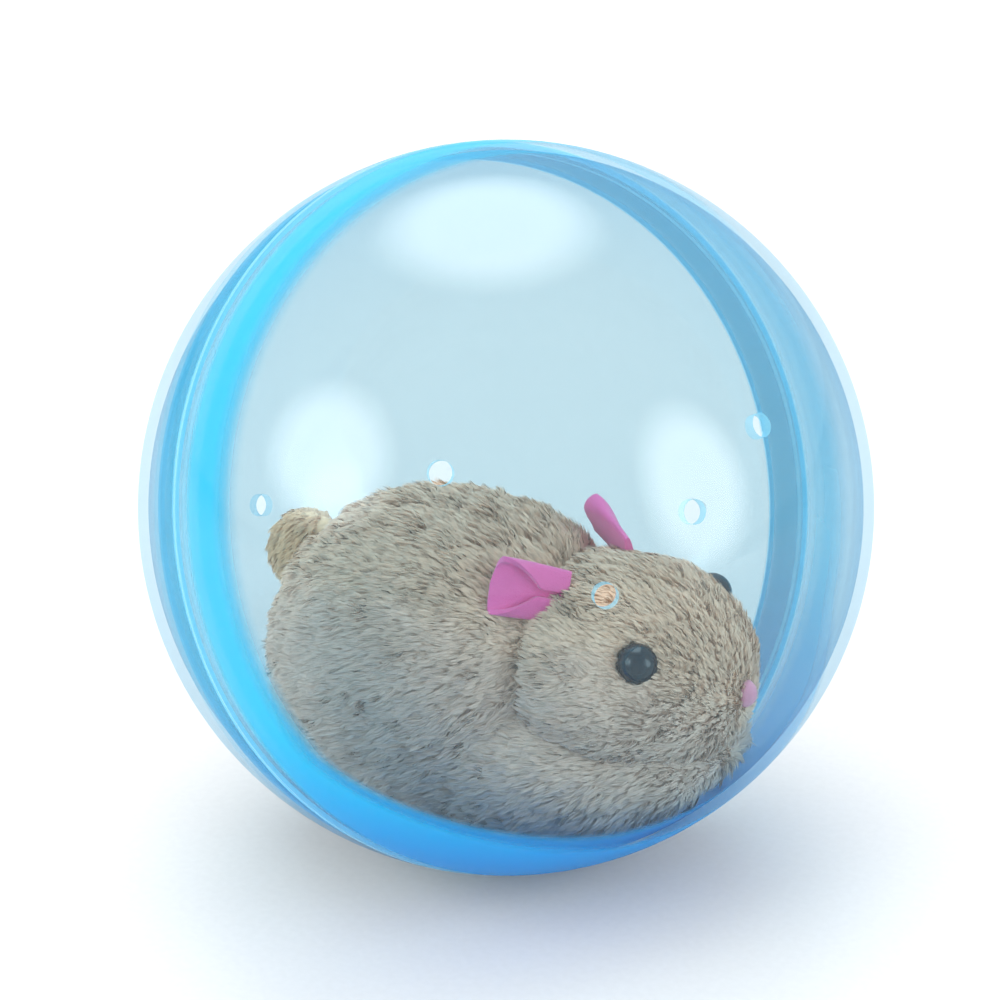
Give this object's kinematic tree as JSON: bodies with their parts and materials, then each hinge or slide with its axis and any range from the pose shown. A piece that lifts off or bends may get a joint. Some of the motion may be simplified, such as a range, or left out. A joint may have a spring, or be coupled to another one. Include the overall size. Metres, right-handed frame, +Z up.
{
  "type": "motorized pet ball",
  "caption": "Clear two-part ball with a stuffed hamster inside that hides a battery drive unit whose wheels roll the ball along.",
  "frame": {"origin": "centre of the bounding box at its base, where the ball rests on the floor", "axes": "+X the way the hamster faces, +Y to its left, +Z up"},
  "size_m": [0.125, 0.1248, 0.1249],
  "materials": {
    "clear_blue_polystyrene": "clear gloss",
    "cream_plush": "short pile",
    "tan_plush": "short pile",
    "pink_felt": "felt",
    "black_bead": "gloss",
    "nose_felt": "felt",
    "brown_plush": "short pile",
    "white_abs": "satin",
    "steel": "plated",
    "cell_wrap": "gloss wrap",
    "nickel": "bright",
    "black_plastic": "satin",
    "gear_nylon": "satin",
    "tyre_rubber": "matt",
    "black_pvc": "satin",
    "red_pvc": "satin"
  },
  "bodies": {
    "rear_half": {"rear_shell": "clear_blue_polystyrene"},
    "front_half": {"front_shell": "clear_blue_polystyrene"},
    "hamster": {"plush_body": "cream_plush", "plush_head": "tan_plush", "ear_left": "pink_felt", "ear_right": "pink_felt", "eye_left": "black_bead", "eye_right": "black_bead", "nose": "nose_felt", "tail": "brown_plush", "chassis_tray": "white_abs", "chassis_cover": "white_abs", "cover_screw_1": "steel", "cover_screw_2": "steel", "cover_screw_3": "steel", "cover_screw_4": "steel", "battery_door": "white_abs", "battery_door_screw": "steel", "battery_left": "cell_wrap", "battery_right": "cell_wrap", "contact_bridge": "nickel", "contact_plate_positive": "nickel", "contact_plate_negative": "nickel", "contact_spring_front": "nickel", "contact_spring_rear": "nickel", "motor_can": "steel", "motor_end_cap": "black_plastic", "idler_pin": "steel", "switch_body": "black_plastic", "wire_black": "black_pvc", "wire_red": "red_pvc", "wire_switch": "black_pvc"},
    "drive_axle_set": {"drive_axle": "steel", "axle_gear": "gear_nylon", "wheel_hub_left": "white_abs", "wheel_hub_right": "white_abs", "tyre_left": "tyre_rubber", "tyre_right": "tyre_rubber"},
    "idler": {"idler_gear": "gear_nylon"},
    "motor_rotor": {"motor_shaft": "steel", "motor_pinion": "nickel"},
    "front_roller_set": {"front_axle": "steel", "front_roller_left": "black_plastic", "front_roller_right": "black_plastic"},
    "switch_slider": {"switch_knob": "black_plastic"}
  },
  "joints": [
    {"name": "ball_roll", "type": "hinge", "parent": "rear_half", "child": "hamster", "pos_m": [0, 0, 0.06238], "axis": [0, 1, 0], "continuous": true},
    {"name": "front_pull", "type": "slide", "parent": "rear_half", "child": "front_half", "axis": [0.803, -0.4636, 0.3746], "range_m": [0, 0.07]},
    {"name": "drive_spin", "type": "hinge", "parent": "hamster", "child": "drive_axle_set", "pos_m": [-0.026, 0, 0.02149], "axis": [0, 1, 0], "continuous": true},
    {"name": "idler_spin", "type": "hinge", "parent": "hamster", "child": "idler", "pos_m": [-0.02459, 0, 0.02946], "axis": [0, 1, 0], "continuous": true},
    {"name": "motor_spin", "type": "hinge", "parent": "hamster", "child": "motor_rotor", "pos_m": [-0.01605, 0, 0.0326], "axis": [0, 1, 0], "continuous": true},
    {"name": "roller_spin", "type": "hinge", "parent": "hamster", "child": "front_roller_set", "pos_m": [0.036, 0, 0.0182], "axis": [0, 1, 0], "continuous": true},
    {"name": "switch_slide", "type": "slide", "parent": "hamster", "child": "switch_slider", "axis": [0, 1, 0], "range_m": [0, 0.0025]}
  ],
  "couplings": [
    {"joint": "drive_spin", "follows": "ball_roll", "ratio": -6.1009},
    {"joint": "idler_spin", "follows": "ball_roll", "ratio": 10.168},
    {"joint": "motor_spin", "follows": "ball_roll", "ratio": -20.336},
    {"joint": "roller_spin", "follows": "ball_roll", "ratio": -18.81}
  ]
}
